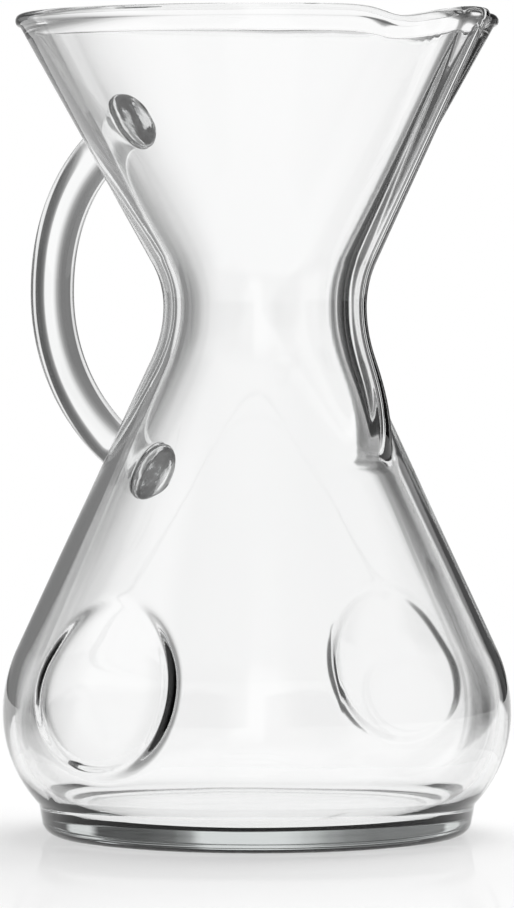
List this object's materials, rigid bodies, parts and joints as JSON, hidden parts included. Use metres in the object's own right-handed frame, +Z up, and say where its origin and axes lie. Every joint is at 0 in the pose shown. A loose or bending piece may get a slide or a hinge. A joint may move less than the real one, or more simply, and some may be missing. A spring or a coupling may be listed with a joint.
{
  "type": "pour-over coffee maker",
  "caption": "Hourglass pour-over coffee maker in clear glass: funnel top with a spout and air channel, round flask with pressed finger grips, and a solid glass rod handle.",
  "frame": {"origin": "middle of the flat underside of the foot, on the table plane, on the carafe's axis", "axes": "+Z up along the carafe's axis, +X towards the pouring spout, -X towards the handle, +Y and -Y towards the two finger grips"},
  "size_m": [0.169, 0.1454, 0.241],
  "materials": {
    "carafe_glass": "clear, fire-polished",
    "handle_glass": "clear, fire-polished rod",
    "button_glass": "clear, pressed and slightly rippled"
  },
  "bodies": {
    "root": {"carafe_body": "carafe_glass", "handle": "handle_glass", "upper_handle_button": "button_glass", "lower_handle_button": "button_glass"}
  },
  "joints": []
}
